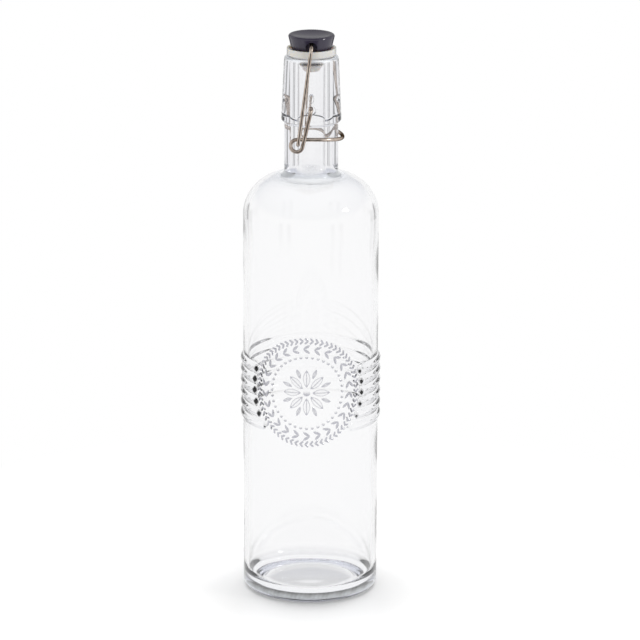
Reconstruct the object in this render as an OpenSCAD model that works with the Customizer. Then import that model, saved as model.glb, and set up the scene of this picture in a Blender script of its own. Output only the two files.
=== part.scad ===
// Swing top bottle: a round glass bottle closed by a capped stopper, which a wire bail and a wire lever
// pull down over centre. Millimetres, +Z up, origin at the centre of the base.
// The lever turns in two dimples on the Y axis of the finish, the bail hooks through the lever's two
// eyes, and the stopper turns on the bail's cross bar.

/* [Body] */
// Outer diameter of the body
body_d = 80; // [70:1:100]
// Height of the straight side wall above the base
side_h = 230; // [190:1:300]
// Thickness of the side wall
wall = 3; // [2:0.1:4]
// Radius of the heel, where the side turns into the base
heel_r = 4.3; // [2.5:0.1:7]
// How much rounder the heel is inside than outside
heel_more = 2; // [0:0.5:4]
// Width of the ring that the bottle stands on
foot_w = 3; // [1.5:0.1:5]
// Rise of the punt in the middle of the base
punt_h = 5; // [2:0.5:12]
// Thickness of glass over the punt
base_t = 5; // [3:0.5:8]
// Convex radius of the shoulder
shoulder_r = 24; // [18:0.5:28]
// Concave radius from the shoulder into the neck
neck_fillet = 3; // [2:0.5:8]

/* [Ribs] */
// Number of rounded rings round the body
rib_count = 6; // [1:1:8]
// Height of the lowest ring's middle
rib_z = 108.6; // [95:0.1:130]
// Distance from one ring to the next
rib_pitch = 6.76; // [6:0.01:8]
// How far the feet of neighbouring rings run into each other
rib_overlap = 0.24; // [0.1:0.02:0.6]
// How far a ring stands out of the body
rib_h = 1.5; // [0.8:0.1:2]
// Radius of the round field at the front, where the rings stop
field_r = 33.5; // [20:0.5:34]
// Height of the field's middle
field_z = 131.5; // [120:0.5:140]
// Turn of the field about the bottle's axis, in degrees
field_turn = -3.2; // [-10:0.1:10]

/* [Neck and finish] */
// Outer diameter of the neck
neck_d = 31.7; // [30:0.1:32.5]
// Length of the neck between the shoulder and the finish
neck_h = 29; // [26:0.5:40]
// Outer diameter of the finish at its lower edge
finish_d = 35.3; // [34:0.1:37]
// Outer diameter of the finish at the lip
lip_d = 32; // [31:0.1:34]
// Height of the finish
finish_h = 39.4; // [36:0.1:46]
// Rounding of the finish's outer edges
finish_edge = 1.8; // [1:0.1:2.5]
// Diameter of the bore through neck and finish
bore_d = 16.6; // [16:0.1:18]
// Rounding of the bore's mouth
mouth_r = 1; // [0.5:0.1:1.5]
// Depth of the pivot dimples' middle under the lip
dimple_down = 29.5; // [27:0.1:31]
// Diameter of a dimple
dimple_d = 5.6; // [5:0.1:7]
// Depth of a dimple
dimple_depth = 2.4; // [2:0.1:3]

/* [Lever wire] */
// Diameter of the lever's wire
lever_d = 2.2; // [1.8:0.1:2.4]
// Gap between the lever's arm and the finish
arm_gap = 1.1; // [0.8:0.1:2]
// How far the eyes' middle lies in front of the pivot, away from the handle
eye_back = 8.5; // [6:0.1:10]
// How far the eyes' middle lies under the pivot
eye_drop = 21.7; // [19:0.1:24]
// Radius of an eye at the middle of the wire
eye_r = 3.5; // [3.4:0.05:4]
// Gap between the two layers of an eye
coil_gap = 0.1; // [0.05:0.05:0.3]
// How far the handle reaches beyond the neck's axis
handle_x = 18.4; // [18:0.1:22]
// How far the handle's end hangs under its sides
handle_droop = 2.2; // [0:0.1:4]

/* [Bail wire] */
// Diameter of the bail's wire
bail_d = 2; // [1.6:0.1:2.1]
// Gap between the bail's arms and the lever's eyes
bail_gap = 0.9; // [0.5:0.1:1.5]
// How far each arm of the bail leans in towards its top
bail_lean = 1.7; // [0:0.1:2]
// Radius of the bail's bends and of the lever's pins, at the middle of the wire
bend_r = 2.2; // [1.6:0.1:2.4]

/* [Stopper] */
// Diameter of the cap at its rim
cap_d = 27; // [26:0.5:30]
// Diameter of the cap's foot
cap_foot_d = 23.6; // [22:0.1:24.6]
// Height of the cap
cap_h = 8.9; // [8.5:0.1:11]
// Rounding of the cap's upper edge
cap_edge = 1.2; // [0.8:0.1:1.6]
// Depth of the dish in the top
dish_h = 1; // [0.4:0.1:1.2]
// Height of the cross hole above the cap's foot
bar_up = 5; // [4.6:0.1:5.6]
// Running clearance of the bail in the cap's cross hole, on the radius
bar_clearance = 0.08; // [0.02:0.01:0.1]
// Width of the arched recess in each side of the cap
recess_w = 6.8; // [5:0.1:8]
// Gap between the bail and the top of the recess
arch_gap = 0.5; // [0.3:0.1:0.8]
// Length of cross hole left between the two recesses
recess_core = 18; // [14:0.5:20]
// Diameter of the stem under the cap
stem_d = 10.4; // [8:0.1:11]
// Thickness of the gasket under the cap
gasket_t = 3.6; // [2.5:0.1:5]
// Diameter of the gasket's flange
gasket_d = 28.8; // [27:0.1:30]
// Height of the gasket's rim above the cap's foot
gasket_rim = 1; // [0.4:0.1:1.6]
// Gap between the gasket's rim and the cap
rim_gap = 0.5; // [0.3:0.1:1]
// How far the inside of the gasket's rim leans out
rim_lean = 0.8; // [0:0.1:1]
// Chamfer under the gasket's flange
gasket_chamfer = 1; // [0.3:0.1:1.5]
// Depth of the gasket's spigot in the bore
spigot_h = 3.1; // [2:0.1:4]
// Clearance of the gasket's spigot in the bore, on the radius
spigot_gap = 1; // [0.8:0.1:1.5]
// Height of stem that shows between gasket and retainer
stem_band = 1.8; // [0.5:0.1:3]
// Clearance of the retainer in the bore, on the radius
plug_gap = 1.2; // [1:0.1:2]
// Height of the retainer's cone
plug_h = 4; // [3:0.1:6]
// Diameter of the retainer's tip
plug_tip_d = 8.8; // [6:0.1:10]
// Diameter of the pin that holds the retainer in the stem
pin_d = 5; // [4:0.1:5.5]
// Length of the retainer's pin
pin_h = 6; // [4:0.1:7]
// Clearance of pieces that are pushed together, on the radius
push_fit = 0.02; // [0.01:0.01:0.05]
// Room over the retainer's pin in the stem
pin_room = 0.5; // [0.2:0.1:1]
// Chamfer at the top of the retainer's pin
pin_chamfer = 0.3; // [0.1:0.1:0.6]

/* [Hidden] */
$fn = 96;
// How far a collar stands out of the wire, half its length, and how far a cut runs past its face
hair = 0.01;
seam = 0.05;
cut = 1;
// Share of the full radius that a chain of bends is bent to, which leaves short straights between them
ease = 0.96;
// Gaps of the pin in its dimple, at its side and at its end, and of the hook in its eye
dimple_side_gap = 0.5;
dimple_end_gap = 0.3;
hook_gap = 0.08;
// Direction of the hook in its eye, in degrees above the handle's side
hook_angle = 50;
// Flat ring of floor round the dome over the punt
floor_ring = 1;
// Bends that make up an eye, and each half of the handle
eye_bends = 4;
handle_bends = 3;

body_r = body_d / 2;
rib_w = rib_pitch + rib_overlap;
neck_r = neck_d / 2;
bore_r = bore_d / 2;
foot_r = body_r - heel_r;
inner_heel_r = heel_r + heel_more;
floor_r = body_r - wall - inner_heel_r;

// The shoulder's two outer arcs touch between these centres, and the inner ones run a wall inside them.
shoulder_x = body_r - shoulder_r;
fillet_x = neck_r + neck_fillet;
neck_z = side_h + leg(shoulder_r + neck_fillet, fillet_x - shoulder_x);
inner_shoulder_r = shoulder_r - wall;
inner_fillet_r = fillet_x - bore_r;
inner_neck_z = side_h + leg(inner_shoulder_r + inner_fillet_r, fillet_x - shoulder_x);
finish_z = neck_z + neck_h;
lip_z = finish_z + finish_h;

// The pin of the lever rests high in its dimple, and it is the pivot.
pin_rest = dimple_d / 2 - lever_d / 2 - dimple_side_gap;
dimple_z = lip_z - dimple_down;
pivot_z = dimple_z + pin_rest;
pin_in = finish_r(dimple_z) - dimple_depth + dimple_end_gap;
arm_y = finish_d / 2 + arm_gap + lever_d / 2;
handle_y = arm_y - lever_d - coil_gap;
eye_z = pivot_z - eye_drop;

// The bail's hook rests against the inside of the eye, on the side of the pull.
hook_play = eye_r - lever_d / 2 - bail_d / 2 - hook_gap;
hook_x = hook_play * cos(hook_angle) - eye_back;
hook_z = eye_z + hook_play * sin(hook_angle);
hook_y = arm_y + lever_d / 2 + bail_gap + bail_d / 2;
hook_in = handle_y - lever_d / 2;
foot_z = lip_z + gasket_t;
bar_z = foot_z + bar_up;
top_z = foot_z + cap_h;
spigot_z = lip_z - spigot_h;
stem_z = spigot_z - stem_band;
foot_edge = cap_edge / 2;

// Angle at the shoulder's centre to the point where two arcs of that reach touch
function join_angle(reach) = acos((fillet_x - shoulder_x) / reach);
function leg(hypotenuse, other) = sqrt(pow(hypotenuse, 2) - pow(other, 2));
function finish_r(z) = (finish_d + (lip_d - finish_d) * (z - finish_z) / finish_h) / 2;
// Points along an arc about c, from angle a to angle b in n steps
function arc(c, r, a, b, n = 8) = [for (i = [0:n]) c + r * [cos(a + (b - a) * i / n), sin(a + (b - a) * i / n)]];
// Heights of a shallow dome over the radius r, h high in its middle, taken from its rim inwards
function dome(r, z, h, n = 6) = [for (i = [0:n]) [r * (n - i) / n, z + h * (1 - pow((n - i) / n, 2))]];

function unit(v) = v / norm(v);
function half_turn(p, i) = acos(unit(p[i] - p[i - 1]) * unit(p[i + 1] - p[i])) / 2;
function bend_length(p, r, i) = i == 0 || i == len(p) - 1 ? 0 : r[i] * tan(half_turn(p, i));
function across(u) = unit(cross(u, abs(u[2]) < 0.9 ? [0, 0, 1] : [1, 0, 0]));
function flip(p) = [p[0], -p[1], p[2]];
// A half path and its mirror image, joined into one path through the XZ plane
function both_sides(half) = concat(half, [for (i = [len(half) - 1:-1:0]) flip(half[i])]);
function there_and_back(half) = concat(half, [for (i = [len(half) - 1:-1:0]) half[i]]);

module set_at(origin, x, y) {
    z = cross(x, y);
    multmatrix([
        [x[0], y[0], z[0], origin[0]],
        [x[1], y[1], z[1], origin[1]],
        [x[2], y[2], z[2], origin[2]],
        [0, 0, 0, 1]
    ]) children();
}

module rod(from, u, d, h) {
    set_at(from, across(u), cross(u, across(u))) cylinder(d = d, h = h);
}

// Round wire along the path p, bent to the radius r[i] at point i. A collar a hair proud closes each
// seam between a straight length and its bend.
module wire(p, r, d) {
    for (i = [0:len(p) - 2]) {
        u = unit(p[i + 1] - p[i]);
        start = bend_length(p, r, i);
        run = norm(p[i + 1] - p[i]) - start - bend_length(p, r, i + 1);
        rod(p[i] + u * start, u, d, run);
    }
    for (i = [1:len(p) - 2]) {
        u = unit(p[i] - p[i - 1]);
        v = unit(p[i + 1] - p[i]);
        out = cross(u, unit(cross(u, v)));
        from = p[i] - u * bend_length(p, r, i);
        to = p[i] + v * bend_length(p, r, i);
        set_at(from - out * r[i], out, u)
            rotate_extrude(angle = 2 * half_turn(p, i)) translate([r[i], 0]) circle(d = d);
        rod(from - u * seam, u, d + 2 * hair, 2 * seam);
        rod(to - v * seam, v, d + 2 * hair, 2 * seam);
    }
}

// Outline of the glass, half of its section: up the outside, over the lip and down the inside.
function outside_outline() = concat(
    [for (i = [6:-1:0]) dome(foot_r - foot_w, 0, punt_h)[i]],
    arc([foot_r, heel_r], heel_r, -90, 0),
    arc([shoulder_x, side_h], shoulder_r, 0, join_angle(shoulder_r + neck_fillet), 16),
    arc([fillet_x, neck_z], neck_fillet, 180 + join_angle(shoulder_r + neck_fillet), 180, 6),
    arc([finish_d / 2 - finish_edge, finish_z + finish_edge], finish_edge, -90, 0, 6),
    arc([lip_d / 2 - finish_edge, lip_z - finish_edge], finish_edge, 0, 90, 6)
);
function inside_outline() = concat(
    arc([bore_r + mouth_r, lip_z - mouth_r], mouth_r, 90, 180, 6),
    arc([fillet_x, inner_neck_z], inner_fillet_r, 180, 180 + join_angle(inner_shoulder_r + inner_fillet_r)),
    arc([shoulder_x, side_h], inner_shoulder_r, join_angle(inner_shoulder_r + inner_fillet_r), 0, 16),
    arc([floor_r, base_t + inner_heel_r], inner_heel_r, 0, -90),
    dome(floor_r - floor_ring, base_t, punt_h)
);
// Each ring ends in a rounded tip on the edge of the round field, measured along the curved wall.
module ribs() {
    ring_r = (pow(rib_w / 2, 2) + pow(rib_h, 2)) / (2 * rib_h);
    centre_r = body_r + rib_h - ring_r;
    difference() {
        for (i = [0:rib_count - 1]) {
            z = rib_z + i * rib_pitch;
            chord = abs(z - field_z) < field_r ? leg(field_r, z - field_z) : 0;
            stop = (chord + rib_w / 2) / body_r * 180 / PI;
            translate([0, 0, z]) rotate([0, 0, field_turn - 90]) {
                rotate([0, 0, stop])
                    rotate_extrude(angle = 360 - 2 * stop) translate([centre_r, 0]) circle(r = ring_r);
                for (side = [-1, 1])
                    rotate([0, 0, side * stop]) translate([centre_r, 0, 0]) sphere(r = ring_r - hair);
            }
        }
        translate([0, 0, rib_z - rib_pitch])
            cylinder(r = body_r - wall / 2, h = (rib_count + 1) * rib_pitch);
    }
}

module bottle() color("lavender", 0.4) difference() {
    union() {
        rotate_extrude() polygon(concat(outside_outline(), inside_outline()));
        ribs();
    }
    for (side = [-1, 1])
        translate([0, side * (finish_r(dimple_z) - dimple_depth), dimple_z])
            rotate([-90 * side, 0, 0]) cylinder(d = dimple_d, h = dimple_depth + cut);
}

// One side of the lever: pin, arm, eye wound inwards, and half of the handle. Eye and handle are bent
// round the corners of polygons drawn about them.
function eye_corner(i) = let (
    start = atan2(-eye_drop, -eye_back) + asin(eye_r / norm([eye_back, eye_drop])) + 90,
    step = (start + 270) / eye_bends,
    angle = start - step * (i + 0.5),
    reach = eye_r / cos(step / 2)
) [
    reach * cos(angle) - eye_back,
    -arm_y + (arm_y - handle_y) * i / (eye_bends - 1),
    reach * sin(angle) - eye_drop
];
function handle_corner(i) = let (
    step = 90 / handle_bends,
    angle = step * (i + 0.5) - 90,
    reach = handle_y / cos(step / 2)
) [
    reach * cos(angle) + handle_x - handle_y,
    reach * sin(angle),
    eye_r - eye_drop - handle_droop * pow(cos(angle), 2)
];

module lever_wire() color("tan") translate([0, 0, pivot_z]) {
    half = concat(
        [[0, -pin_in, 0], [0, -arm_y, 0]],
        [for (i = [0:eye_bends - 1]) eye_corner(i)],
        [for (i = [0:handle_bends - 1]) handle_corner(i)]
    );
    bends = concat(
        [0, bend_r],
        [for (i = [1:eye_bends]) eye_r * ease],
        [for (i = [1:handle_bends]) handle_y * ease]
    );
    wire(both_sides(half), there_and_back(bends), lever_d);
}

module bail_wire() color("silver") translate([0, 0, hook_z]) {
    half = [
        [hook_x, -hook_in, 0],
        [hook_x, -hook_y, 0],
        [0, bail_lean - hook_y, bar_z - hook_z]
    ];
    wire(both_sides(half), there_and_back([0, bend_r, bend_r]), bail_d);
}

module stopper_cap() color("dimgray") difference() {
    rotate_extrude() polygon(concat(
        [[0, stem_z], [stem_d / 2, stem_z], [stem_d / 2, foot_z]],
        arc([cap_foot_d / 2 - foot_edge, foot_z + foot_edge], foot_edge, -90, 0, 4),
        arc([cap_d / 2 - cap_edge, top_z - cap_edge], cap_edge, 0, 90, 6),
        dome(cap_d / 2 - 2 * cap_edge, top_z, -dish_h)
    ));
    translate([0, cap_d / 2, bar_z]) rotate([90, 0, 0]) cylinder(d = bail_d + 2 * bar_clearance, h = cap_d);
    for (side = [-1, 1]) {
        arch_z = bar_z + bail_d / 2 + arch_gap - recess_w / 2;
        translate([0, side * recess_core / 2, arch_z])
            rotate([-90 * side, 0, 0]) cylinder(d = recess_w, h = cap_d);
        translate([-recess_w / 2, side > 0 ? recess_core / 2 : -recess_core / 2 - cap_d, foot_z - cut])
            cube([recess_w, cap_d, arch_z - foot_z + cut]);
    }
    translate([0, 0, stem_z - cut])
        cylinder(d = pin_d + 2 * push_fit, h = pin_h + pin_room + cut);
}

module gasket() color("wheat") rotate_extrude() {
    flange_r = gasket_d / 2;
    rim_r = cap_foot_d / 2 + rim_gap;
    polygon([
        [stem_d / 2 + push_fit, foot_z],
        [rim_r, foot_z],
        [rim_r + rim_lean, foot_z + gasket_rim],
        [flange_r, foot_z + gasket_rim],
        [flange_r, lip_z + gasket_chamfer],
        [flange_r - gasket_chamfer, lip_z],
        [bore_r - spigot_gap, lip_z],
        [bore_r - spigot_gap, spigot_z],
        [stem_d / 2 + push_fit, spigot_z]
    ]);
}

module retainer() color("ivory") rotate_extrude() {
    polygon([
        [0, stem_z + pin_h],
        [pin_d / 2 - pin_chamfer, stem_z + pin_h],
        [pin_d / 2, stem_z + pin_h - pin_chamfer],
        [pin_d / 2, stem_z],
        [bore_r - plug_gap, stem_z],
        [plug_tip_d / 2, stem_z - plug_h],
        [0, stem_z - plug_h]
    ]);
}

bottle();
lever_wire();
bail_wire();
stopper_cap();
gasket();
retainer();
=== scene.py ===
"""Swing top bottle: the looks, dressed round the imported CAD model.

Lengths are in millimetres until a mesh is made. Materials, floor and lamps are in metres.
"""

import math

import bpy
import numpy as np
from mathutils import Matrix, Vector


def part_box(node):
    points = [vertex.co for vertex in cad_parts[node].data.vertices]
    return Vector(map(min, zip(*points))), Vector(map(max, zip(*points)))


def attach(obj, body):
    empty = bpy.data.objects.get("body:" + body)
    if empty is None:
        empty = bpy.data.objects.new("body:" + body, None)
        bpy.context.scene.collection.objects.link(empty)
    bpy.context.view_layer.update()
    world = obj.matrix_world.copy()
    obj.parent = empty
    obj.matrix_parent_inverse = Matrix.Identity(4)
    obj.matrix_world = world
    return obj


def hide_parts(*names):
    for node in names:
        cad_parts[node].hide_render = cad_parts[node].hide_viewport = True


MM = 0.001
TAU = 2 * math.pi

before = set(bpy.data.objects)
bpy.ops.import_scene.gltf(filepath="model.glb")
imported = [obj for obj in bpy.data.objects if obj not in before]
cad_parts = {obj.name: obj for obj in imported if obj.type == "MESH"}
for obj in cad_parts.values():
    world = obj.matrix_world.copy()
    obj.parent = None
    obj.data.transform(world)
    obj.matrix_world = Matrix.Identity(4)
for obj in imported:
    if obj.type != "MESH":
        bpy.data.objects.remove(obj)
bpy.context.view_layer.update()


def top(node):
    """Highest point of a CAD node, in mm."""
    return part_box(node)[1].z / MM


# ---------------------------------------------------------------- camera

IMAGE_WIDTH = 640
FOCAL_LENGTH = 4215  # in the picture's pixels
VIEW_DISTANCE = 2500
VIEW_ELEVATION = math.radians(16.2)
VIEW_AIM = Vector((5.5, 0, 164.5))
VIEW_ROLL = math.radians(0.2)
VIEW_ANGLE = 2 * math.atan(IMAGE_WIDTH / 2 / FOCAL_LENGTH)


def add_camera():
    camera = bpy.data.objects.new("camera", bpy.data.cameras.new("camera"))
    bpy.context.scene.collection.objects.link(camera)
    bpy.context.scene.camera = camera
    back = Vector((0, -math.cos(VIEW_ELEVATION), math.sin(VIEW_ELEVATION)))
    camera.location = (VIEW_AIM + back * VIEW_DISTANCE) * MM
    turn = back.to_track_quat("Z", "Y").to_matrix() @ Matrix.Rotation(VIEW_ROLL, 3, "Z")
    camera.rotation_euler = turn.to_euler()
    camera.data.angle = VIEW_ANGLE
    camera.data.clip_end = 50


add_camera()

# ---------------------------------------------------------------- sizes of the glass, in mm


def leg(hypotenuse, other):
    return math.sqrt(hypotenuse**2 - other**2)


BODY_R = 40.0
SIDE_Z = 230.0
WALL = 3.0
HEEL_R = 4.3
INNER_HEEL_R = 10.0
FOOT_W = 3.0
PUNT_H = 4.0
BASE_T = 4.0
FLOOR_RIM = 1.0  # flat rim between the inside heel and the inner dome
SHOULDER_R = 24.0
NECK_R = 15.85
NECK_FILLET = 3.0
NECK_H = 29.0
FINISH_R = 17.65
LIP_R = 16.0
FINISH_EDGE = 1.8
BORE_R = 8.3
MOUTH_R = 1.0
LIP_Z = top("bottle")
DIMPLE_DOWN = 29.5
DIMPLE_Z = LIP_Z - DIMPLE_DOWN
DIMPLE_R = 2.8
DIMPLE_DEPTH = 2.4
DIMPLE_OUT = 0.15  # the rounded edge reaches this far outside the radius
DIMPLE_EDGE = 0.5  # and is this wide

SHOULDER_X = BODY_R - SHOULDER_R
FILLET_X = NECK_R + NECK_FILLET
NECK_Z = SIDE_Z + leg(SHOULDER_R + NECK_FILLET, FILLET_X - SHOULDER_X)
INNER_SHOULDER_R = SHOULDER_R - WALL
INNER_FILLET_R = FILLET_X - BORE_R
INNER_NECK_Z = SIDE_Z + leg(INNER_SHOULDER_R + INNER_FILLET_R, FILLET_X - SHOULDER_X)
FINISH_Z = NECK_Z + NECK_H

RIB_COUNT = 6
RIB_Z = 108.6
RIB_PITCH = 6.76
RIB_W = 7.0
RIB_H = 1.5
FIELD_R = 33.5
FIELD_Z = 131.5
FIELD_TURN = math.radians(-3.2)
FIELD_ANGLE = FIELD_TURN - math.pi / 2
RELIEF_FROM = 95  # the rings and the round field lie between these heights
RELIEF_TO = 168

# ---------------------------------------------------------------- sizes of the wires, in mm

LEVER_D = 2.2
BAIL_D = 2.0
BEND_R = 2.2
PIN_UP = 1.2  # the pin presses up in its dimple while the closure is shut
PIVOT_Z = DIMPLE_Z + PIN_UP
PIN_IN = 15.5  # where the pins end, from the axis
ARM_Y = 19.85
EYE_X = -8.5
EYE_DOWN = 21.7
EYE_Z = PIVOT_Z - EYE_DOWN
EYE_R = 3.5
HANDLE_X = 18.4
HANDLE_Y = 17.55
HANDLE_DROOP = 2.2
HOOK = Vector((-7.65, 0, 276.26))  # where the bail lies in the eyes
HOOK_Y = 22.85
BAIL_LEAN = 1.7
GASKET_H = 3.6  # between the lip and the cap's foot
BAR_UP = 5  # from the cap's foot to the bail's bar
BAR_Z = LIP_Z + GASKET_H + BAR_UP

# ---------------------------------------------------------------- outlines


def arc(centre, radius, start, end, n=24):
    """Points of an arc, with its angles in degrees."""
    angles = np.radians(np.linspace(start, end, n + 1))
    return [(centre[0] + radius * math.cos(a), centre[1] + radius * math.sin(a)) for a in angles]


def dome(radius, z, rise, n=12):
    """A shallow dome from its rim inwards to the axis."""
    return [(radius * (n - i) / n, z + rise * (1 - ((n - i) / n) ** 2)) for i in range(n + 1)]


def glass_outline():
    """Half section of the glass: middle of the base, up the outside, over the lip and down the inside."""
    foot_r = BODY_R - HEEL_R
    floor_r = BODY_R - WALL - INNER_HEEL_R
    outer_join = math.degrees(math.acos((FILLET_X - SHOULDER_X) / (SHOULDER_R + NECK_FILLET)))
    inner_join = math.degrees(math.acos((FILLET_X - SHOULDER_X) / (INNER_SHOULDER_R + INNER_FILLET_R)))
    outside = (
        dome(foot_r - FOOT_W, 0, PUNT_H)[::-1]
        + arc((foot_r, HEEL_R), HEEL_R, -90, 0)
        + arc((SHOULDER_X, SIDE_Z), SHOULDER_R, 0, outer_join)
        + arc((FILLET_X, NECK_Z), NECK_FILLET, 180 + outer_join, 180)
        + [(NECK_R, FINISH_Z)]
        + arc((FINISH_R - FINISH_EDGE, FINISH_Z + FINISH_EDGE), FINISH_EDGE, -90, 0)
        + arc((LIP_R - FINISH_EDGE, LIP_Z - FINISH_EDGE), FINISH_EDGE, 0, 90)
    )
    inside = (
        arc((BORE_R + MOUTH_R, LIP_Z - MOUTH_R), MOUTH_R, 90, 180)
        + arc((FILLET_X, INNER_NECK_Z), INNER_FILLET_R, 180, 180 + inner_join)
        + arc((SHOULDER_X, SIDE_Z), INNER_SHOULDER_R, inner_join, 0)
        + arc((floor_r, BASE_T + INNER_HEEL_R), INNER_HEEL_R, 0, -90)
        + dome(floor_r - FLOOR_RIM, BASE_T, PUNT_H)
    )
    return outside + inside


def soften(points, radius, step=0.1):
    """A polyline from axis to axis, evenly spaced, with its corners rounded by about this radius."""
    points = np.array(points, float)
    along = np.concatenate([[0], np.cumsum(np.hypot(*np.diff(points, axis=0).T))])
    keep = np.concatenate([[True], np.diff(along) > 1e-9])
    s = np.linspace(0, along[-1], int(along[-1] / step) + 1)
    line = np.stack([np.interp(s, along[keep], points[keep, k]) for k in (0, 1)], 1)
    half = int(3 * radius / step)
    weights = np.exp(-0.5 * (np.arange(-half, half + 1) * step / radius) ** 2)
    weights /= weights.sum()
    before = line[1 : half + 1][::-1] * [-1, 1]
    after = line[-half - 1 : -1][::-1] * [-1, 1]
    padded = np.concatenate([before, line, after])
    smooth = np.stack([np.convolve(padded[:, k], weights, "valid") for k in (0, 1)], 1)
    smooth[0, 0] = smooth[-1, 0] = 0
    return smooth


def thin(line, turn, longest, fine):
    """Rows along a dense line, with their normals.

    A row comes at least every so many degrees of turn and every so many mm, and on the outer wall
    every step mm inside the fine spans (z0, z1, step).
    """
    tangent = np.gradient(line, axis=0)
    heading = np.unwrap(np.arctan2(tangent[:, 1], tangent[:, 0]))
    normal = np.stack([np.sin(heading), -np.cos(heading)], 1)
    rows, spent = [0], 0.0
    for i in range(1, len(line)):
        length = np.hypot(*(line[i] - line[i - 1]))
        limit = longest
        for low, high, step in fine:
            if low <= line[i, 1] <= high and normal[i, 0] > 0:
                limit = step
        spent += max(length / limit, abs(heading[i] - heading[i - 1]) / math.radians(turn))
        if spent >= 1:
            rows.append(i)
            spent = 0.0
    if rows[-1] != len(line) - 1:
        rows.append(len(line) - 1)
    return line[rows], normal[rows]


# ---------------------------------------------------------------- relief on the glass


def rise(x, start, end):
    """0 before start, 1 after end, and smooth between."""
    t = np.clip((x - start) / (end - start), 0, 1)
    return t * t * (3 - 2 * t)


def fold(angle, count=1):
    """An angle measured from the middle of its own share of a full turn. With one share, from -pi to pi."""
    share = TAU / count
    return (angle + share / 2) % share - share / 2


def along_wall(theta):
    """Distance along the outer wall from the middle of the round field."""
    return BODY_R * fold(theta - FIELD_ANGLE)


def bump(distance, width, height):
    """A rounded ridge over a distance field."""
    return height * np.clip(1 - (distance / width) ** 2, 0, 1)


def segment_distance(x, y, a, b):
    dx, dy = b[0] - a[0], b[1] - a[1]
    t = np.clip(((x - a[0]) * dx + (y - a[1]) * dy) / (dx * dx + dy * dy), 0, 1)
    return np.hypot(x - a[0] - t * dx, y - a[1] - t * dy)


SHADE_H = 0.2  # relief this high is painted fully dark
LINE_W = 0.42  # half width of the painted dark lines in a leaf


def leaf(x, y, half_length, half_width, height, solid):
    """A pointed leaf along x with a groove down its middle.

    Gives its height and how dark it is painted, as painted shade: solid all over, and fully at its rim,
    groove and points.
    """
    slim = 1 - (x / half_length) ** 2
    width = half_width * np.clip(slim, 1e-3, 1)
    body = height * np.clip(1 - (np.abs(y) / width) ** 3, 0, 1) * np.clip(slim * 4, 0, 1)
    groove = 1 - 0.45 * np.exp(-((y / 0.28) ** 2))
    rim = np.clip(1 - np.abs(width - np.abs(y) - 0.3) / LINE_W, 0, 1)
    middle = np.clip(1 - np.abs(y) / LINE_W, 0, 1)
    points = np.clip((np.abs(x) - half_length * 0.62) / 0.8, 0, 1)
    dark = np.clip(solid + np.maximum(rim + middle, points), 0, 1)
    return body * groove, np.clip(body / SHADE_H, 0, 1) * dark


CHEVRONS = 66
CHEVRON_RING = 31.6
CHEVRON_TIP = (0.65, 0)
CHEVRON_ENDS = ((-0.6, 1.35), (-0.6, -1.35))
BEADS = 40
BEAD_RING = 21.8
WREATH = 26
WREATH_RING = 26.7
WREATH_GAP = 1.25  # between the wreath's middle line and its leaves
WREATH_TILT = math.radians(32)
PETALS = 8
PETAL_RING = 8.6
SEPAL_RING = 12.4


def medallion(u, v):
    """A border of chevrons, a wreath, a ring of beads and a rosette, all common ornament.

    Gives the height of the relief on the unrolled wall and how dark it is painted, from 0 to 1: painted shade
    that stands in for the dark its steep sides refract.
    """
    rho = np.hypot(u, v)
    phi = np.arctan2(u, v)
    t = rho * fold(phi, CHEVRONS)
    n = rho - CHEVRON_RING
    strokes = [segment_distance(t, n, CHEVRON_TIP, end) for end in CHEVRON_ENDS]
    height = bump(np.minimum(*strokes), width=0.66, height=0.45)
    dark = np.clip(height / SHADE_H, 0, 1)

    def press(shape):
        np.maximum(height, shape[0], out=height)
        np.maximum(dark, shape[1], out=dark)

    x = rho * fold(phi, WREATH)
    for side in (-1, 1):
        y = side * (rho - WREATH_RING) - WREATH_GAP
        along = x * math.cos(WREATH_TILT) + y * math.sin(WREATH_TILT)
        across = y * math.cos(WREATH_TILT) - x * math.sin(WREATH_TILT)
        press(leaf(along, across, half_length=2.5, half_width=0.9, height=0.42, solid=0.55))
    t = fold(phi, PETALS)
    x, y = rho * np.cos(t) - PETAL_RING, rho * np.sin(t)
    press(leaf(x, y, half_length=5.4, half_width=2.3, height=0.5, solid=0.12))
    t = fold(phi + TAU / PETALS / 2, PETALS)
    x, y = rho * np.cos(t) - SEPAL_RING, rho * np.sin(t)
    press(leaf(x, y, half_length=3.2, half_width=1.2, height=0.4, solid=0.3))
    # The beads and the boss in the middle get painted shade on their lower sides.
    x, y = rho * fold(phi, BEADS), rho - BEAD_RING
    beads = bump(np.hypot(x, y), width=1.0, height=0.6)
    up = y * np.cos(phi) - x * np.sin(phi)
    press((beads, np.clip(beads / 0.08, 0, 1) * np.clip(0.75 - up, 0, 1)))
    boss = bump(rho, width=2.2, height=0.7)
    press((boss, np.clip(boss / 0.1, 0, 1) * np.clip(0.6 - v / 2, 0, 1)))
    return height, dark


RING_WAVE = 0.62 * RIB_PITCH
RING_LOSS = 0.3  # the rings are this much flatter at the back
RING_BACK = (75, 110)  # along the wall from the field's middle
TIP_BACK = 2.7  # from where a ring reaches its full height to its painted dark spot, towards the field
TIP_SPOT = 0.6  # the width over which the spot fades
TIP_CORE = 1.4  # its tone at the middle, before it is cut to TIP_DARK
TIP_DARK = 0.8


def ring_tips():
    """Height of each ring's middle, and how far from the field's middle it ends along the wall."""
    for i in range(RIB_COUNT):
        z = RIB_Z + i * RIB_PITCH
        yield z, leg(FIELD_R, z - FIELD_Z) + RIB_W / 2


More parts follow.
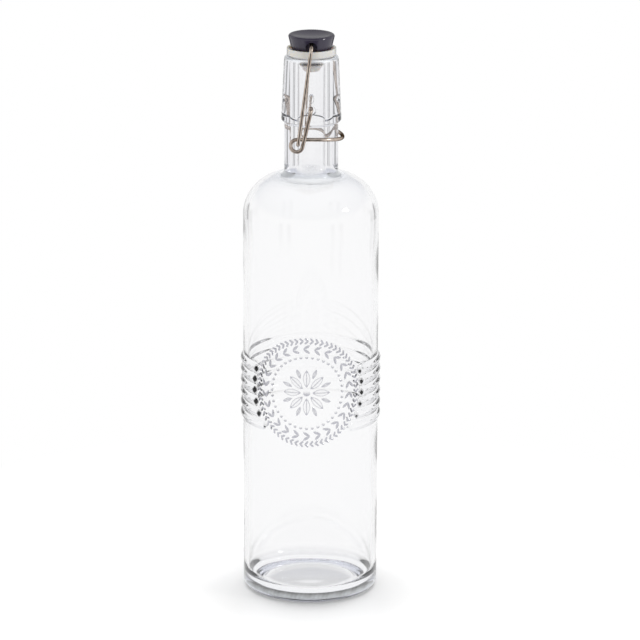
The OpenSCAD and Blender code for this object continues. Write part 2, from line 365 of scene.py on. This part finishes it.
def rings(u, z):
    """The rings round the body: soft waves, each with a rounded tip where it meets the round field."""
    height = np.zeros_like(u)
    for ring_z, tip in ring_tips():
        distance = np.hypot(z - ring_z, RING_WAVE / (RIB_W / 2) * np.maximum(tip - np.abs(u), 0))
        height += RIB_H * 0.5 * (1 + np.cos(math.pi * np.clip(distance / RING_WAVE, 0, 1)))
    return height * (1 - RING_LOSS * rise(np.abs(u), *RING_BACK))


def tip_shade(u, z):
    """Painted shade: a dark spot at the tip of each ring, where the wall is steepest."""
    dark = np.zeros_like(u)
    for ring_z, tip in ring_tips():
        distance = np.hypot(z - ring_z, np.abs(u) - tip + TIP_BACK)
        dark = np.maximum(dark, np.clip(TIP_CORE - distance / TIP_SPOT, 0, TIP_DARK))
    return dark


def dimples(theta, z):
    """The two round dimples in the finish that take the lever's pins."""
    depth = np.zeros_like(theta)
    for side in (-1, 1):
        distance = np.hypot(FINISH_R * fold(theta - side * math.pi / 2), z - DIMPLE_Z)
        edge = np.clip((DIMPLE_R + DIMPLE_OUT - distance) / DIMPLE_EDGE, 0, 1)
        depth += DIMPLE_DEPTH * edge * edge * (3 - 2 * edge)
    return -depth


def in_relief(z):
    """Whether a height lies in the band of the rings and the round field."""
    return (z > RELIEF_FROM) & (z < RELIEF_TO)


def outer_relief(theta, z):
    u = along_wall(theta)
    height = np.where(in_relief(z), np.maximum(rings(u, z), medallion(u, z - FIELD_Z)[0]), 0)
    return height + np.where(np.abs(z - DIMPLE_Z) < 4, dimples(theta, z), 0)


WAVES = ((0.09, 2, 19, 0.0), (0.06, 3, -9, 1.0), (0.02, 7, 6, 2.0))
WAVES_FROM = (12, 20)  # the waves start at this height, and are full so much higher
WAVES_TO = (245, 30)  # they end at this height, and are full so much lower


def inner_wave(theta, z):
    """Blown glass is never quite even inside: waves of (height, count round the wall, mm a radian, phase)."""
    wave = sum(height * np.sin(count * theta + z / pitch + phase) for height, count, pitch, phase in WAVES)
    start = np.clip((z - WAVES_FROM[0]) / WAVES_FROM[1], 0, 1)
    end = np.clip((WAVES_TO[0] - z) / WAVES_TO[1], 0, 1)
    return wave * start * end


# ---------------------------------------------------------------- meshes


def make_object(name, vertices, faces, material, body):
    mesh = bpy.data.meshes.new(name)
    mesh.from_pydata([tuple(v) for v in vertices], [], faces)
    mesh.materials.append(material)
    mesh.polygons.foreach_set("use_smooth", [True] * len(mesh.polygons))
    mesh.update()
    obj = bpy.data.objects.new(name, mesh)
    bpy.context.scene.collection.objects.link(obj)
    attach(obj, body)
    return obj


def row_angles(z, outward, columns, spans):
    """Angles of a row's vertices, and the place of each main column among them."""
    theta, mark = [], [0]
    share = TAU / columns
    for j in range(columns):
        start = j * TAU / columns
        parts = 1
        for low, high, centre, half, count in spans:
            if low <= z <= high and outward > 0 and abs(fold(start + share / 2 - centre)) < half:
                parts = count
        theta += [start + share * k / parts for k in range(parts)]
        mark.append(len(theta))
    return np.array(theta), mark


def stitch(faces, low, high, low_at, high_at, columns):
    """Faces between two rows of vertices that share their main columns, whatever lies between those."""
    for j in range(columns):
        a, b = low_at[j], low_at[j + 1]
        c, d = high_at[j], high_at[j + 1]
        lower = [low[k % len(low)] for k in range(a, b + 1)]
        upper = [high[k % len(high)] for k in range(c, d + 1)]
        if len(lower) == len(upper):
            for k in range(len(lower) - 1):
                faces.append((lower[k], lower[k + 1], upper[k + 1], upper[k]))
        else:
            faces.append(tuple(lower + upper[::-1]))


SLOPE_STEP = 0.04  # slopes are measured over this distance to each side


def revolve(rows, normals, columns, spans, shift):
    """Vertices, normals and faces of a turned body, from axis to axis.

    A row inside one of the spans (z0, z1, middle angle, half angle, parts) gets finer columns there, and
    shift(theta, z, outward) moves a vertex along the radius.
    """
    points, directions, starts, marks, faces = [], [], [], [], []
    for (r, z), (outward, upward) in zip(rows, normals):
        if r < 1e-6:
            starts.append([len(points)])
            marks.append(None)
            points.append((0, 0, z))
            directions.append((0, 0, math.copysign(1, upward)))
            continue
        theta, mark = row_angles(z, outward, columns, spans)
        marks.append(mark)
        starts.append(list(range(len(points), len(points) + len(theta))))
        height = np.full_like(theta, z)
        radius = r + shift(theta, height, outward)
        ahead, behind = (shift(theta + step / r, height, outward) for step in (SLOPE_STEP, -SLOPE_STEP))
        over, under = (shift(theta, height + step, outward) for step in (SLOPE_STEP, -SLOPE_STEP))
        side = -outward * (ahead - behind) / (2 * SLOPE_STEP)
        lift = upward - outward * (over - under) / (2 * SLOPE_STEP)
        c, s = np.cos(theta), np.sin(theta)
        points += list(zip(radius * c, radius * s, height))
        vectors = np.stack([outward * c - side * s, outward * s + side * c, lift], 1)
        directions += list(vectors / np.linalg.norm(vectors, axis=1, keepdims=True))
    for i in range(len(rows) - 1):
        low, high = starts[i], starts[i + 1]
        if marks[i] is None:
            faces += [(low[0], high[(k + 1) % len(high)], high[k]) for k in range(len(high))]
        elif marks[i + 1] is None:
            faces += [(low[k], low[(k + 1) % len(low)], high[0]) for k in range(len(low))]
        else:
            stitch(faces, low, high, marks[i], marks[i + 1], columns)
    return np.array(points), np.array(directions), faces


BEND_STEP = 0.12
TURN_STEPS = 90  # in the eye, and in half the handle
WIRE_STEP = 0.3
EASE_ROUNDS = 6
WIRE_SIDES = 22
WIRE_FLAT = 0.12  # how flat the tightest bend is pressed, as a share of the radius
END_DEPTH = 0.4  # of a domed end, as a share of the radius
END_SHARES = (0.45, 0.8, 0.96)  # of the radius, in the rings of a domed end
ASIDE = (0.3, 0.2, 1.0)  # along none of the wires' first stretches


def bend(points):
    """A dense path along straight lines whose corners are arcs of the wire's bend radius."""
    path = [Vector(points[0])]
    for before, corner, after in zip(points, points[1:], points[2:]):
        before, corner, after = Vector(before), Vector(corner), Vector(after)
        u, v = (corner - before).normalized(), (after - corner).normalized()
        half = u.angle(v) / 2
        start = corner - u * BEND_R * math.tan(half)
        out = (u.cross(v)).cross(u).normalized()
        count = max(2, int(2 * half * BEND_R / BEND_STEP))
        for i in range(count + 1):
            a = 2 * half * i / count
            path.append(start + u * BEND_R * math.sin(a) + out * BEND_R * (1 - math.cos(a)))
    path.append(Vector(points[-1]))
    return path


def mirrored(half):
    """A half path on the -Y side and its mirror image, joined in the XZ plane."""
    return list(half) + [Vector((p[0], -p[1], p[2])) for p in reversed(list(half))]


def eased(path):
    """The same path with evenly spaced points and gentler starts of its bends. The ends stay in place."""
    path = np.array([tuple(p) for p in path])
    along = np.concatenate([[0], np.cumsum(np.linalg.norm(np.diff(path, axis=0), axis=1))])
    s = np.linspace(0, along[-1], int(along[-1] / WIRE_STEP) + 2)
    path = np.stack([np.interp(s, along, path[:, k]) for k in range(3)], 1)
    for _ in range(EASE_ROUNDS):
        path[1:-1] = path[1:-1] / 2 + (path[:-2] + path[2:]) / 4
    return path


def wire_rings(path, radius):
    """(path index, share of the radius, offset along the wire) of each ring. The two ends are domed."""
    step = np.linalg.norm(path[1] - path[0])
    deep = END_DEPTH * radius
    skip = int(deep / step) + 1
    caps = [(share, deep * (1 - math.sqrt(1 - share**2))) for share in END_SHARES]
    rings = [(0, share, offset) for share, offset in caps]
    rings += [(i, 1.0, 0.0) for i in range(skip, len(path) - skip)]
    return rings + [(len(path) - 1, share, -offset) for share, offset in reversed(caps)]


def sweep(name, path, radius, material, body):
    """Round wire along an evenly spaced path. It is pressed a little flat where it bends tightly."""
    sides = WIRE_SIDES
    tangent = np.gradient(path, axis=0)
    tangent /= np.linalg.norm(tangent, axis=1, keepdims=True)
    step = np.linalg.norm(path[1] - path[0])
    curve = np.gradient(tangent, axis=0) / step
    normal = np.cross(tangent[0], ASIDE)
    points, along = [path[0]], [0.0]
    for i, share, offset in wire_rings(path, radius):
        normal = normal - tangent[i] * (normal @ tangent[i])
        normal /= np.linalg.norm(normal)
        side = np.cross(tangent[i], normal)
        size = np.linalg.norm(curve[i])
        squash = WIRE_FLAT * min(1.0, size * BEND_R)
        for k in range(sides):
            a = TAU * k / sides
            out = normal * math.cos(a) + side * math.sin(a)
            shape = 1 + squash * (0.5 - (out @ curve[i] / max(size, 1e-9)) ** 2)
            points.append(path[i] + tangent[i] * offset + out * radius * share * shape)
            along.append((i * step + offset) * MM)
    points.append(path[-1])
    along.append((len(path) - 1) * step * MM)
    last = len(points) - 1
    loops = [list(range(start, start + sides)) for start in range(1, last, sides)]
    faces = [(0, loops[0][(k + 1) % sides], loops[0][k]) for k in range(sides)]
    for low, high in zip(loops, loops[1:]):
        faces += [(low[k], low[(k + 1) % sides], high[(k + 1) % sides], high[k]) for k in range(sides)]
    faces += [(loops[-1][k], loops[-1][(k + 1) % sides], last) for k in range(sides)]
    obj = make_object(name, np.array(points) * MM, faces, material, body)
    layer = obj.data.uv_layers.new(name="along")
    for polygon in obj.data.polygons:
        around = [((v - 1) % sides) / sides for v in polygon.vertices if 0 < v < last]
        seam = max(around) - min(around) > 0.5
        for loop, v in zip(polygon.loop_indices, polygon.vertices):
            a = ((v - 1) % sides) / sides if 0 < v < last else sum(around) / len(around)
            layer.data[loop].uv = (a + (1 if seam and a < 0.5 else 0), along[v])
    return obj


def lever_path():
    """Pin, arm, eye wound inwards, and the handle round the neck."""
    away = math.hypot(EYE_X, EYE_Z - PIVOT_Z)
    start = math.atan2(EYE_Z - PIVOT_Z, EYE_X) + math.asin(EYE_R / away) + math.pi / 2
    first = Vector((EYE_X + EYE_R * math.cos(start), -ARM_Y, EYE_Z + EYE_R * math.sin(start)))
    half = bend([(0, -PIN_IN, PIVOT_Z), (0, -ARM_Y, PIVOT_Z), first])
    turn = start + 1.5 * math.pi
    for i in range(1, TURN_STEPS + 1):
        a = start - turn * i / TURN_STEPS
        y = -ARM_Y + (ARM_Y - HANDLE_Y) * i / TURN_STEPS
        half.append(Vector((EYE_X + EYE_R * math.cos(a), y, EYE_Z + EYE_R * math.sin(a))))
    for i in range(TURN_STEPS):
        a = (i / TURN_STEPS - 1) * math.pi / 2
        droop = HANDLE_DROOP * math.cos(a) ** 2
        x = HANDLE_X + HANDLE_Y * (math.cos(a) - 1)
        half.append(Vector((x, HANDLE_Y * math.sin(a), EYE_Z + EYE_R - droop)))
    return eased(mirrored(half))


def bail_path():
    """Hook in one eye, arm, bar through the cap, arm, and hook in the other eye."""
    hook_in = HANDLE_Y - LEVER_D / 2
    corners = [
        Vector((HOOK.x, -hook_in, HOOK.z)),
        Vector((HOOK.x, -HOOK_Y, HOOK.z)),
        Vector((0, BAIL_LEAN - HOOK_Y, BAR_Z)),
    ]
    return eased(bend(mirrored(corners)))


# ---------------------------------------------------------------- materials


def new_material(name):
    material = bpy.data.materials.new(name)
    material.use_nodes = True
    nodes = material.node_tree.nodes
    nodes.clear()
    return material, nodes, material.node_tree.links


def principled(nodes, **values):
    shader = nodes.new("ShaderNodeBsdfPrincipled")
    for key, value in values.items():
        shader.inputs[key.replace("_", " ")].default_value = value
    return shader


def feed(links, socket, value):
    """Give a socket a number or a colour, or link it to another node's output."""
    if isinstance(value, bpy.types.NodeSocket):
        links.new(value, socket)
    elif isinstance(value, tuple):
        socket.default_value = value + (1,)
    else:
        socket.default_value = value


def noise(nodes, links, scale, detail, stretch=(1, 1, 1), source="Object"):
    """Noise over the object's own coordinates, in cycles per metre."""
    place = nodes.new("ShaderNodeTexCoord")
    mapping = nodes.new("ShaderNodeMapping")
    mapping.inputs["Scale"].default_value = stretch
    texture = nodes.new("ShaderNodeTexNoise")
    texture.inputs["Scale"].default_value = scale
    texture.inputs["Detail"].default_value = detail
    links.new(place.outputs[source], mapping.inputs["Vector"])
    links.new(mapping.outputs["Vector"], texture.inputs["Vector"])
    return texture.outputs["Fac"]


def grey(value):
    return (value, value, value)


def ramp(nodes, links, source, *stops):
    """A colour ramp with (place, colour) stops."""
    node = nodes.new("ShaderNodeValToRGB")
    elements = node.color_ramp.elements
    while len(elements) < len(stops):
        elements.new(0.5)
    for element, (place, colour) in zip(elements, stops):
        element.position = place
        element.color = colour + (1,)
    links.new(source, node.inputs["Fac"])
    return node.outputs["Color"]


def grey_ramp(nodes, links, source, *stops):
    """A ramp with (place, tone) stops."""
    return ramp(nodes, links, source, *((place, grey(tone)) for place, tone in stops))


def maths(nodes, links, operation, *values):
    node = nodes.new("ShaderNodeMath")
    node.operation = operation
    for socket, value in zip(node.inputs, values):
        feed(links, socket, value)
    return node.outputs["Value"]


def blend(nodes, links, kind, factor, a, b):
    """Two colours or tones, mixed or multiplied by a factor."""
    node = nodes.new("ShaderNodeMix")
    node.data_type, node.blend_type = "RGBA", kind
    feed(links, node.inputs["Factor"], factor)
    feed(links, node.inputs["A"], a)
    feed(links, node.inputs["B"], b)
    return node.outputs["Result"]


def tinted(nodes, links, a, b):
    return blend(nodes, links, "MULTIPLY", 1.0, a, b)


def choose(nodes, links, factor, a, b):
    """The first colour where the factor is 0, the second where it is 1."""
    return blend(nodes, links, "MIX", factor, a, b)


def mix_shaders(nodes, links, factor, first, second):
    mix = nodes.new("ShaderNodeMixShader")
    links.new(factor, mix.inputs["Fac"])
    links.new(first, mix.inputs[1])
    links.new(second, mix.inputs[2])
    return mix.outputs["Shader"]


def bump_from(nodes, links, source, strength, distance, over=None):
    """The normal of a bump, laid over another bump's normal if there is one."""
    node = nodes.new("ShaderNodeBump")
    node.inputs["Strength"].default_value = strength
    node.inputs["Distance"].default_value = distance
    links.new(source, node.inputs["Height"])
    if over is not None:
        links.new(over, node.inputs["Normal"])
    return node.outputs["Normal"]


def finish_with(nodes, links, shader, volume=None):
    output = nodes.new("ShaderNodeOutputMaterial")
    links.new(shader, output.inputs["Surface"])
    if volume is not None:
        links.new(volume, output.inputs["Volume"])


# Painted shade on the relief:
RELIEF_PAINTED_SHADE = (0.30, 0.30, 0.35)
# Painted light where light is caught in thick glass:
PAINTED_CAUGHT_LIGHT = (0.80, 0.86, 0.92)
SHADOW_TINT = (0.62, 0.62, 0.63, 1)
DEPTH_TINT = (0.30, 0.31, 0.42, 1)
DEPTH_DENSITY = 10.0

WIRE_EDGE = (0.16, 0.11, 0.08, 1)
WIRE_DARK = (0.42, 0.35, 0.30)
WIRE_LIGHT = (0.66, 0.58, 0.51)
WIRE_LINES = (14, 260, 1)  # round the wire, and along it in cycles per metre
SOFT_DEPTH = (0.004, 0.003, 0.002)


def glass_material():
    """Clear flint glass: its relief is painted darker, as painted shade, and a thick stretch is faintly grey.

    The heel, the lip and the neck's foot get painted light: a pale, less clear share that stands in for the
    light caught between many surfaces.
    """
    material, nodes, links = new_material("clear_glass")
    shader = principled(nodes, Roughness=0.0, IOR=1.5, Transmission_Weight=1.0)
    shares = {}
    for name in ("relief", "caught_light"):
        layer = nodes.new("ShaderNodeAttribute")
        layer.attribute_name = name
        shares[name] = layer.outputs["Fac"]
    dark = ramp(nodes, links, shares["relief"], (0.0, grey(1.0)), (1.0, RELIEF_PAINTED_SHADE))
    pale = ramp(nodes, links, shares["caught_light"], (0.0, grey(1.0)), (1.0, PAINTED_CAUGHT_LIGHT))
    links.new(tinted(nodes, links, dark, pale), shader.inputs["Base Color"])
    through = maths(nodes, links, "SUBTRACT", 1.0, shares["caught_light"])
    links.new(through, shader.inputs["Transmission Weight"])
    clear = nodes.new("ShaderNodeBsdfTransparent")
    clear.inputs["Color"].default_value = SHADOW_TINT
    shadow = nodes.new("ShaderNodeLightPath").outputs["Is Shadow Ray"]
    surface = mix_shaders(nodes, links, shadow, shader.outputs["BSDF"], clear.outputs["BSDF"])
    absorb = nodes.new("ShaderNodeVolumeAbsorption")
    absorb.inputs["Color"].default_value = DEPTH_TINT
    absorb.inputs["Density"].default_value = DEPTH_DENSITY
    finish_with(nodes, links, surface, absorb.outputs["Volume"])
    return material


def wire_material():
    """Drawn and bent wire: fine lines along it, a warm cast in patches, and dark edges."""
    material, nodes, links = new_material("wire")
    shader = principled(nodes, Metallic=1.0, Specular_Tint=WIRE_EDGE)
    patches = noise(nodes, links, scale=260, detail=4)
    colour = ramp(nodes, links, patches, (0.35, WIRE_DARK), (0.65, WIRE_LIGHT))
    links.new(colour, shader.inputs["Base Color"])
    lines = noise(nodes, links, scale=1, detail=4, stretch=WIRE_LINES, source="UV")
    links.new(grey_ramp(nodes, links, lines, (0.3, 0.10), (0.7, 0.24)), shader.inputs["Roughness"])
    links.new(bump_from(nodes, links, lines, strength=0.35, distance=0.00004), shader.inputs["Normal"])
    finish_with(nodes, links, shader.outputs["BSDF"])
    return material


def moulded_material(name, dark, light, rough, subsurface=0.0, coat=0.0):
    """Moulded plastic or rubber: a fine grain, slight unevenness of colour and gloss, and shallow waves."""
    material, nodes, links = new_material(name)
    shader = principled(nodes, Specular_IOR_Level=0.5, Coat_Weight=coat, Coat_Roughness=0.08)
    if subsurface:
        shader.inputs["Subsurface Weight"].default_value = subsurface
        shader.inputs["Subsurface Radius"].default_value = SOFT_DEPTH
        shader.inputs["Subsurface Scale"].default_value = 1.0
    cloud = noise(nodes, links, scale=150, detail=3)
    links.new(ramp(nodes, links, cloud, (0.35, dark), (0.65, light)), shader.inputs["Base Color"])
    fine = noise(nodes, links, scale=1400, detail=5)
    gloss = grey_ramp(nodes, links, fine, (0.35, rough[0]), (0.65, rough[1]))
    links.new(gloss, shader.inputs["Roughness"])
    broad = noise(nodes, links, scale=90, detail=1)
    waves = bump_from(nodes, links, broad, strength=0.5, distance=0.00008)
    grains = bump_from(nodes, links, fine, strength=0.3, distance=0.000004, over=waves)
    links.new(grains, shader.inputs["Normal"])
    finish_with(nodes, links, shader.outputs["BSDF"])
    return material


GLASS = glass_material()
WIRE = wire_material()
BLACK = moulded_material(
    "black_plastic",
    dark=(0.022, 0.018, 0.036),
    light=(0.031, 0.026, 0.047),
    rough=(0.08, 0.16),
)
RUBBER = moulded_material(
    "gasket_rubber",
    dark=(0.60, 0.585, 0.56),
    light=(0.68, 0.665, 0.64),
    rough=(0.28, 0.42),
    subsurface=0.6,
    coat=0.4,
)
CREAM = moulded_material(
    "pale_plastic",
    dark=(0.90, 0.83, 0.76),
    light=(0.94, 0.88, 0.82),
    rough=(0.3, 0.45),
    subsurface=0.3,
)

# ---------------------------------------------------------------- the bottle

CORNER_R = 0.35  # of the glass's smallest roundings
ROW_TURN = 5.0  # degrees
ROW_LENGTH = 3.0
BOTTLE_COLUMNS = 200
RELIEF_SPAN = math.radians(53)
DIMPLE_SPAN = math.radians(15)
DIMPLE_BAND = (DIMPLE_Z - 3.3, DIMPLE_Z + 3.3)
FINE_ROWS = ((97, 166, 0.3), (DIMPLE_Z - 3.6, DIMPLE_Z + 3.6, 0.16))
FINE_COLUMNS = (
    (97.5, 165.5, FIELD_ANGLE, RELIEF_SPAN, 6),
    (*DIMPLE_BAND, math.pi / 2, DIMPLE_SPAN, 3),
    (*DIMPLE_BAND, -math.pi / 2, DIMPLE_SPAN, 3),
)


def glass_shift(theta, z, outward):
    """Relief on the outer wall, waves on the inner one, and neither where the glass lies rather flat."""
    if outward > 0.5:
        return outer_relief(theta, z)
    if outward < -0.5:
        return inner_wave(theta, z)
    return np.zeros_like(theta)


def relief_shade(points, directions):
    """Painted shade on the relief at each vertex of the outer wall, from 0 to 1."""
    outward = (directions[:, :2] * points[:, :2]).sum(1) > 0
    z = points[:, 2]
    u = along_wall(np.arctan2(points[:, 1], points[:, 0]))
    dark = np.maximum(medallion(u, z - FIELD_Z)[1], tip_shade(u, z))
    return np.where(in_relief(z) & outward, dark, 0)


def caught_light_share(points):
    """Painted light in the glass: a pale share at the heel, most of all at the front, the lip's edge and the
    neck's foot.

    It stands in for light caught in thick glass. The heel's band starts at a height of 2.4 mm and is gone at
    11 mm, with small painted glints in it.
    """
    x, y, z = points.T
    radius, angle = np.hypot(x, y), np.arctan2(y, x)
    # Painted glints: the pale share rises and falls in small uneven sparkles.
    painted_glints = 0.8 + 0.2 * np.sin(41 * angle + 5 * z) * np.sin(67 * angle - 4 * z + 1)
    facing = 0.25 + 0.75 * rise(-y, -10, 15)
    band = rise(z, 2.4, 3.3) * (0.7 - 0.4 * rise(z, 5, 6.5) - 0.3 * rise(z, 8, 11))
    heel = painted_glints * facing * band * (radius > BODY_R - WALL / 2)
    lip = 0.5 * rise(z, LIP_Z - 2.2, LIP_Z - 0.8) * rise(radius, 13.6, 14.6)
    foot = 0.5 * rise(z, NECK_Z - 5, NECK_Z - 2) * (1 - rise(z, NECK_Z - 1, NECK_Z + 2))
    return heel + lip + foot * (radius > NECK_R - 1)


def build_bottle():
    rows, normals = thin(soften(glass_outline(), CORNER_R), ROW_TURN, ROW_LENGTH, FINE_ROWS)
    points, directions, faces = revolve(rows, normals, BOTTLE_COLUMNS, FINE_COLUMNS, glass_shift)
    obj = make_object("bottle_glass", points * MM, faces, GLASS, "bottle")
    for name, values in (("relief", relief_shade(points, directions)), ("caught_light", caught_light_share(points))):
        layer = obj.data.attributes.new(name, "FLOAT", "POINT")
        layer.data.foreach_set("value", values.astype(np.float32))
    obj.data.normals_split_custom_set_from_vertices(directions.tolist())
    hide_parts("bottle")


build_bottle()

# ---------------------------------------------------------------- wires and stopper


def build_wires():
    lever = sweep("lever_wire_bent", lever_path(), LEVER_D / 2, WIRE, "lever")
    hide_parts("lever_wire")
    bail = sweep("bail_wire_bent", bail_path(), BAIL_D / 2, WIRE, "bail")
    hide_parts("bail_wire")


def dress_stopper():
    """The stopper's three pieces keep their CAD meshes."""
    for name, material in (("stopper_cap", BLACK), ("gasket", RUBBER), ("retainer", CREAM)):
        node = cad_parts[name]
        node.data.materials.clear()
        node.data.materials.append(material)


build_wires()
dress_stopper()

# ---------------------------------------------------------------- floor, light and background, in metres

# Painted contact shadow on the floor:
CONTACT_REACH = 0.06
CONTACT_SAMPLES = 16
CONTACT_TONE = 0.45
# The painted contact shadow leans away from this direction; no lamp stands there.
PAINTED_SHADOW_LEAN = (0.0, 0.6, 0.8)
LIT_TONE = 0.93
LIT_GLOW = 0.30
# Tones of painted reflections, seen only in glass, metal and gloss:
PAINTED_FLAG_TONE = 0.35
GROUND_TONE = 0.06
FRONT_TONE = 0.75
BACK_TONE = 0.40
LIT_EDGE = (0.12, 0.30)  # the lit ground turns plain white between these distances from the axis
PAINTED_FLAG_EDGE = (0.80, 0.92)  # and the painted flags start between these
FLOOR_HALF = 9.0
FLOOR_Z = -0.00002
# Painted sky, seen only in the glass:
SKY_TINT = (0.62, 0.64, 0.70)
SKY_TOP = (0.90, 0.92, 1.0)
LAMP_AIM = Vector((0, 0, 0.17))


def squares(nodes, links, x, y):
    """x squared, y squared, and their sum, which is kept above 0."""
    xx = maths(nodes, links, "MULTIPLY", x, x)
    yy = maths(nodes, links, "MULTIPLY", y, y)
    return xx, yy, maths(nodes, links, "MAXIMUM", maths(nodes, links, "ADD", xx, yy), 1e-6)


def painted_flags(nodes, links, x, y):
    """White all round but for eight thin grey sectors, one on each side of every diagonal.

    They are painted reflections, seen only in the glass, and draw the edges of the clear glass.
    """
    xx, yy, total = squares(nodes, links, x, y)
    double = maths(nodes, links, "DIVIDE", maths(nodes, links, "SUBTRACT", yy, xx), total)
    place = maths(nodes, links, "MULTIPLY", double, double)
    stops = ((0.012, 1.0), (0.028, PAINTED_FLAG_TONE), (0.125, PAINTED_FLAG_TONE), (0.155, 1.0))
    return grey_ramp(nodes, links, place, *stops)


def painted_room(nodes, links, x, y, front, back):
    """Painted reflections for metal and gloss: white to both sides, darker towards the front (-Y) and the
    back.
    """
    xx, _, total = squares(nodes, links, x, y)
    side = grey_ramp(nodes, links, maths(nodes, links, "DIVIDE", xx, total), (0.22, 0.0), (0.5, 1.0))
    behind = maths(nodes, links, "GREATER_THAN", y, 0.0)
    return choose(nodes, links, side, choose(nodes, links, behind, grey(front), grey(back)), grey(1.0))


def ray_kinds(nodes, links):
    """Three factors, each 0 or 1: camera rays, mirrored or refracted rays, and rays off satin surfaces."""
    path = nodes.new("ShaderNodeLightPath")
    glossy, sharp = path.outputs["Is Glossy Ray"], path.outputs["Is Singular Ray"]
    mirrored = maths(nodes, links, "MAXIMUM", glossy, path.outputs["Is Transmission Ray"])
    satin = maths(nodes, links, "MULTIPLY", glossy, maths(nodes, links, "SUBTRACT", 1.0, sharp))
    return path.outputs["Is Camera Ray"], mirrored, satin


def contact_shade(nodes, links):
    """Painted soft shadow round the bottle's foot, from ambient occlusion. It leans to the front, as if the
    light came from above and behind.
    """
    near = nodes.new("ShaderNodeAmbientOcclusion")
    near.inputs["Distance"].default_value = CONTACT_REACH
    near.samples = CONTACT_SAMPLES
    towards = nodes.new("ShaderNodeCombineXYZ")
    for axis, value in zip("XYZ", PAINTED_SHADOW_LEAN):
        towards.inputs[axis].default_value = value
    links.new(towards.outputs["Vector"], near.inputs["Normal"])
    stops = ((0.35, CONTACT_TONE), (0.54, 0.76), (0.82, 0.89), (0.96, 1.0))
    return grey_ramp(nodes, links, near.outputs["AO"], *stops)


def floor_material():
    """White ground with the bottle's painted soft contact shadow.

    Glass sees a painted shadow pool under the base, white round it and painted grey flags far out. Satin
    metal and plastic see painted reflections: dark ground to the front and the back and white ground to the
    sides.
    """
    material, nodes, links = new_material("floor")
    place = nodes.new("ShaderNodeNewGeometry")
    split = nodes.new("ShaderNodeSeparateXYZ")
    links.new(place.outputs["Position"], split.inputs["Vector"])
    x, y = split.outputs["X"], split.outputs["Y"]
    radius = maths(nodes, links, "SQRT", squares(nodes, links, x, y)[2])
    camera, mirrored, satin = ray_kinds(nodes, links)
    contact = contact_shade(nodes, links)
    # The floor glows; the painted contact shadow darkens its colour and glow alike.
    lit = principled(nodes, Roughness=0.25, Specular_IOR_Level=0.3, Emission_Strength=LIT_GLOW)
    links.new(tinted(nodes, links, contact, grey(LIT_TONE)), lit.inputs["Base Color"])
    links.new(contact, lit.inputs["Emission Color"])
    # Painted shadow pool under the base, seen only through the glass.
    under = maths(nodes, links, "DIVIDE", radius, BODY_R * MM)
    painted_shadow_pool = grey_ramp(nodes, links, under, (0.10, 1.0), (0.25, 0.75), (0.55, 0.70), (0.70, 1.0))
    distant, away = (
        grey_ramp(nodes, links, radius, (start, 0.0), (end, 1.0)) for start, end in (PAINTED_FLAG_EDGE, LIT_EDGE)
    )
    flagged = maths(nodes, links, "MULTIPLY", mirrored, distant)
    clear = choose(nodes, links, flagged, painted_shadow_pool, painted_flags(nodes, links, x, y))
    seen = choose(nodes, links, satin, clear, painted_room(nodes, links, x, y, GROUND_TONE, GROUND_TONE))
    plain = nodes.new("ShaderNodeEmission")
    links.new(choose(nodes, links, camera, seen, grey(1.0)), plain.inputs["Color"])
    share = maths(nodes, links, "MAXIMUM", away, mirrored)
    surface = mix_shaders(nodes, links, share, lit.outputs["BSDF"], plain.outputs["Emission"])
    finish_with(nodes, links, surface)
    return material


def add_floor():
    size, z = FLOOR_HALF, FLOOR_Z
    corners = [(-size, -size, z), (size, -size, z), (size, size, z), (-size, size, z)]
    mesh = bpy.data.meshes.new("floor")
    mesh.from_pydata(corners, [], [(0, 1, 2, 3)])
    mesh.materials.append(floor_material())
    floor = bpy.data.objects.new("floor", mesh)
    bpy.context.scene.collection.objects.link(floor)


def add_world():
    """White for the camera and for the light on the pieces.

    Glass sees painted reflections: faintly grey and blue overhead. Satin metal and plastic see the painted
    room and a darker painted ceiling.
    """
    world = bpy.data.worlds.new("studio")
    bpy.context.scene.world = world
    world.use_nodes = True
    nodes, links = world.node_tree.nodes, world.node_tree.links
    nodes.clear()
    place = nodes.new("ShaderNodeTexCoord")
    split = nodes.new("ShaderNodeSeparateXYZ")
    links.new(place.outputs["Generated"], split.inputs["Vector"])
    x, y, z = (split.outputs[k] for k in "XYZ")
    painted_sky = ramp(nodes, links, z, (0.16, grey(1.0)), (0.34, SKY_TINT), (0.95, SKY_TOP))
    painted_ceiling = grey_ramp(nodes, links, z, (0.55, 1.0), (0.85, 0.35))
    camera, mirrored, satin = ray_kinds(nodes, links)
    dull = tinted(nodes, links, painted_ceiling, painted_room(nodes, links, x, y, FRONT_TONE, BACK_TONE))
    seen = choose(nodes, links, mirrored, grey(1.0), choose(nodes, links, satin, painted_sky, dull))
    background = nodes.new("ShaderNodeBackground")
    links.new(choose(nodes, links, camera, seen, grey(1.0)), background.inputs["Color"])
    output = nodes.new("ShaderNodeOutputWorld")
    links.new(background.outputs["Background"], output.inputs["Surface"])


def add_lamp(name, azimuth, elevation, distance, size, power):
    """A round soft box that faces the middle of the bottle."""
    data = bpy.data.lights.new(name, "AREA")
    data.shape = "DISK"
    data.size = size
    data.energy = power
    lamp = bpy.data.objects.new(name, data)
    bpy.context.scene.collection.objects.link(lamp)
    a, e = math.radians(azimuth), math.radians(elevation)
    away = Vector((math.sin(a) * math.cos(e), -math.cos(a) * math.cos(e), math.sin(e)))
    lamp.location = LAMP_AIM + away * distance
    lamp.rotation_euler = away.to_track_quat("Z", "Y").to_euler()


add_floor()
add_world()
add_lamp("key", azimuth=69, elevation=30, distance=1.6, size=0.25, power=4.0)

bpy.context.scene.view_settings.view_transform = "Standard"
